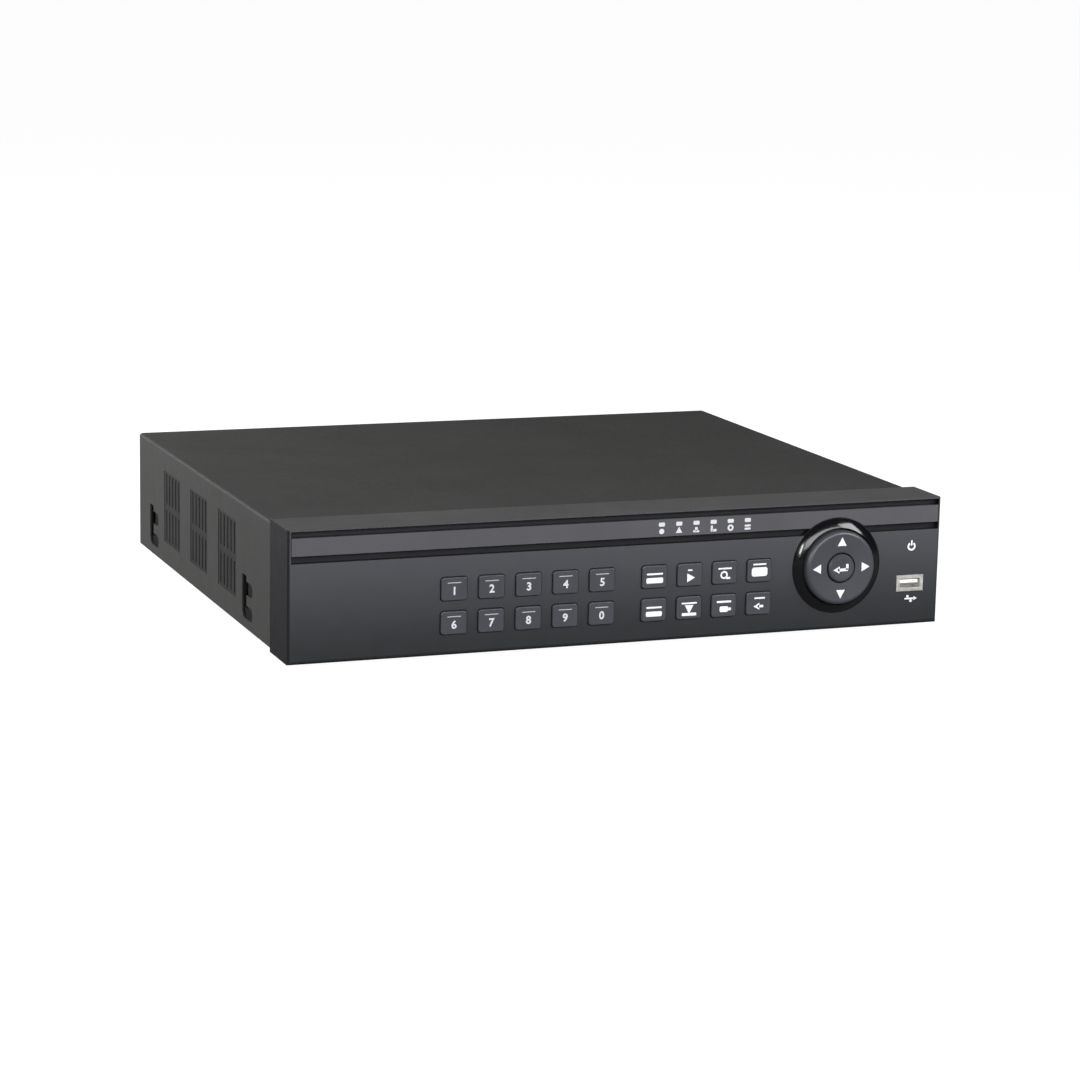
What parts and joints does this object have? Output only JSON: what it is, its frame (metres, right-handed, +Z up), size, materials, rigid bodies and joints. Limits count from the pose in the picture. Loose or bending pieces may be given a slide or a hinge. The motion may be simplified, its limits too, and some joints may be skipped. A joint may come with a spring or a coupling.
{
  "type": "video recorder",
  "caption": "Low desktop surveillance video recorder: folded steel case, plastic front bezel with keypad, round pad, indicator strip and USB socket, sockets at the back.",
  "frame": {"origin": "middle of the footprint, on the surface that the feet stand on", "axes": "+X along the front to the viewer's right, +Y from the front to the back, +Z up"},
  "size_m": [0.38, 0.3486, 0.0759],
  "materials": {
    "bezel_plastic": "satin",
    "strip_plastic": "smoked gloss",
    "ring_plastic": "gloss",
    "key_plastic": "satin",
    "cover_paint": "fine matte powder coat",
    "chassis_paint": "matte",
    "foot_rubber": "matte",
    "screw_steel": "satin",
    "nickel": "plated",
    "circuit_board": "solder mask",
    "chip_plastic": "matte",
    "heat_sink_metal": "anodised",
    "drive_casting": "cast",
    "standoff_brass": "plain",
    "black_plastic": "matte",
    "white_plastic": "matte",
    "green_plastic": "matte",
    "clear_plastic": "clear",
    "cable_sheath": "soft"
  },
  "bodies": {
    "recorder_case": {"front_bezel": "bezel_plastic", "indicator_strip": "strip_plastic", "nav_trim_ring": "ring_plastic", "nav_bracket": "black_plastic", "tact_switches": "black_plastic", "front_board": "circuit_board", "main_board": "circuit_board", "power_supply_board": "circuit_board", "indicator_lamps": "clear_plastic", "light_guides": "clear_plastic", "infrared_receiver": "chip_plastic", "usb_shells": "nickel", "usb_tongues": "white_plastic", "chassis_base": "chassis_paint", "top_cover": "cover_paint", "rear_panel": "chassis_paint", "bnc_jacks": "nickel", "bnc_insulators": "white_plastic", "audio_jacks": "nickel", "vga_port": "nickel", "network_port": "nickel", "terminal_block": "green_plastic", "power_inlet": "black_plastic", "rocker_housing": "black_plastic", "fan_frame": "black_plastic", "board_standoffs": "standoff_brass", "board_chips": "chip_plastic", "heat_sink": "heat_sink_metal", "hard_drive_left": "drive_casting", "hard_drive_right": "drive_casting", "power_supply_parts": "chip_plastic", "sata_cables": "cable_sheath", "front_cable": "cable_sheath", "supply_leads": "cable_sheath", "panel_screws": "screw_steel", "case_screws": "screw_steel", "rubber_feet": "foot_rubber"},
    "key_1": {"key_1": "key_plastic"},
    "key_2": {"key_2": "key_plastic"},
    "key_3": {"key_3": "key_plastic"},
    "key_4": {"key_4": "key_plastic"},
    "key_5": {"key_5": "key_plastic"},
    "key_6": {"key_6": "key_plastic"},
    "key_7": {"key_7": "key_plastic"},
    "key_8": {"key_8": "key_plastic"},
    "key_9": {"key_9": "key_plastic"},
    "key_0": {"key_0": "key_plastic"},
    "key_menu": {"key_menu": "key_plastic"},
    "key_play": {"key_play": "key_plastic"},
    "key_search": {"key_search": "key_plastic"},
    "key_record": {"key_record": "key_plastic"},
    "key_info": {"key_info": "key_plastic"},
    "key_backup": {"key_backup": "key_plastic"},
    "key_camera": {"key_camera": "key_plastic"},
    "key_escape": {"key_escape": "key_plastic"},
    "enter_button": {"enter_button": "key_plastic"},
    "nav_gimbal_ring": {"nav_gimbal_ring": "white_plastic"},
    "nav_disc": {"nav_disc": "key_plastic"},
    "fan_rotor": {"fan_rotor": "black_plastic"},
    "power_rocker": {"power_rocker": "black_plastic"}
  },
  "joints": [
    {"name": "key_1_press", "type": "slide", "parent": "recorder_case", "child": "key_1", "axis": [0, 1, 0], "range_m": [0, 0.0008], "stiffness_N_per_m": 600, "springref_m": -0.0015},
    {"name": "key_2_press", "type": "slide", "parent": "recorder_case", "child": "key_2", "axis": [0, 1, 0], "range_m": [0, 0.0008], "stiffness_N_per_m": 600, "springref_m": -0.0015},
    {"name": "key_3_press", "type": "slide", "parent": "recorder_case", "child": "key_3", "axis": [0, 1, 0], "range_m": [0, 0.0008], "stiffness_N_per_m": 600, "springref_m": -0.0015},
    {"name": "key_4_press", "type": "slide", "parent": "recorder_case", "child": "key_4", "axis": [0, 1, 0], "range_m": [0, 0.0008], "stiffness_N_per_m": 600, "springref_m": -0.0015},
    {"name": "key_5_press", "type": "slide", "parent": "recorder_case", "child": "key_5", "axis": [0, 1, 0], "range_m": [0, 0.0008], "stiffness_N_per_m": 600, "springref_m": -0.0015},
    {"name": "key_6_press", "type": "slide", "parent": "recorder_case", "child": "key_6", "axis": [0, 1, 0], "range_m": [0, 0.0008], "stiffness_N_per_m": 600, "springref_m": -0.0015},
    {"name": "key_7_press", "type": "slide", "parent": "recorder_case", "child": "key_7", "axis": [0, 1, 0], "range_m": [0, 0.0008], "stiffness_N_per_m": 600, "springref_m": -0.0015},
    {"name": "key_8_press", "type": "slide", "parent": "recorder_case", "child": "key_8", "axis": [0, 1, 0], "range_m": [0, 0.0008], "stiffness_N_per_m": 600, "springref_m": -0.0015},
    {"name": "key_9_press", "type": "slide", "parent": "recorder_case", "child": "key_9", "axis": [0, 1, 0], "range_m": [0, 0.0008], "stiffness_N_per_m": 600, "springref_m": -0.0015},
    {"name": "key_0_press", "type": "slide", "parent": "recorder_case", "child": "key_0", "axis": [0, 1, 0], "range_m": [0, 0.0008], "stiffness_N_per_m": 600, "springref_m": -0.0015},
    {"name": "key_menu_press", "type": "slide", "parent": "recorder_case", "child": "key_menu", "axis": [0, 1, 0], "range_m": [0, 0.0008], "stiffness_N_per_m": 600, "springref_m": -0.0015},
    {"name": "key_play_press", "type": "slide", "parent": "recorder_case", "child": "key_play", "axis": [0, 1, 0], "range_m": [0, 0.0008], "stiffness_N_per_m": 600, "springref_m": -0.0015},
    {"name": "key_search_press", "type": "slide", "parent": "recorder_case", "child": "key_search", "axis": [0, 1, 0], "range_m": [0, 0.0008], "stiffness_N_per_m": 600, "springref_m": -0.0015},
    {"name": "key_record_press", "type": "slide", "parent": "recorder_case", "child": "key_record", "axis": [0, 1, 0], "range_m": [0, 0.0008], "stiffness_N_per_m": 600, "springref_m": -0.0015},
    {"name": "key_info_press", "type": "slide", "parent": "recorder_case", "child": "key_info", "axis": [0, 1, 0], "range_m": [0, 0.0008], "stiffness_N_per_m": 600, "springref_m": -0.0015},
    {"name": "key_backup_press", "type": "slide", "parent": "recorder_case", "child": "key_backup", "axis": [0, 1, 0], "range_m": [0, 0.0008], "stiffness_N_per_m": 600, "springref_m": -0.0015},
    {"name": "key_camera_press", "type": "slide", "parent": "recorder_case", "child": "key_camera", "axis": [0, 1, 0], "range_m": [0, 0.0008], "stiffness_N_per_m": 600, "springref_m": -0.0015},
    {"name": "key_escape_press", "type": "slide", "parent": "recorder_case", "child": "key_escape", "axis": [0, 1, 0], "range_m": [0, 0.0008], "stiffness_N_per_m": 600, "springref_m": -0.0015},
    {"name": "enter_press", "type": "slide", "parent": "recorder_case", "child": "enter_button", "axis": [0, 1, 0], "range_m": [0, 0.0008], "stiffness_N_per_m": 600, "springref_m": -0.0015},
    {"name": "nav_tilt_up_down", "type": "hinge", "parent": "recorder_case", "child": "nav_gimbal_ring", "pos_m": [0.1257, -0.1587, 0.0403], "axis": [1, 0, 0], "range_deg": [-1.5, 1.5], "stiffness_Nm_per_rad": 1.2},
    {"name": "nav_tilt_left_right", "type": "hinge", "parent": "nav_gimbal_ring", "child": "nav_disc", "pos_m": [0.1257, -0.1587, 0.0403], "axis": [0, 0, 1], "range_deg": [-1.5, 1.5], "stiffness_Nm_per_rad": 1.2},
    {"name": "fan_spin", "type": "hinge", "parent": "recorder_case", "child": "fan_rotor", "pos_m": [0.102, 0.1561, 0.036], "axis": [0, 1, 0], "continuous": true},
    {"name": "power_rocker_tilt", "type": "hinge", "parent": "recorder_case", "child": "power_rocker", "pos_m": [0.156, 0.1608, 0.0495], "axis": [-1, 0, 0], "range_deg": [0, 16]}
  ]
}
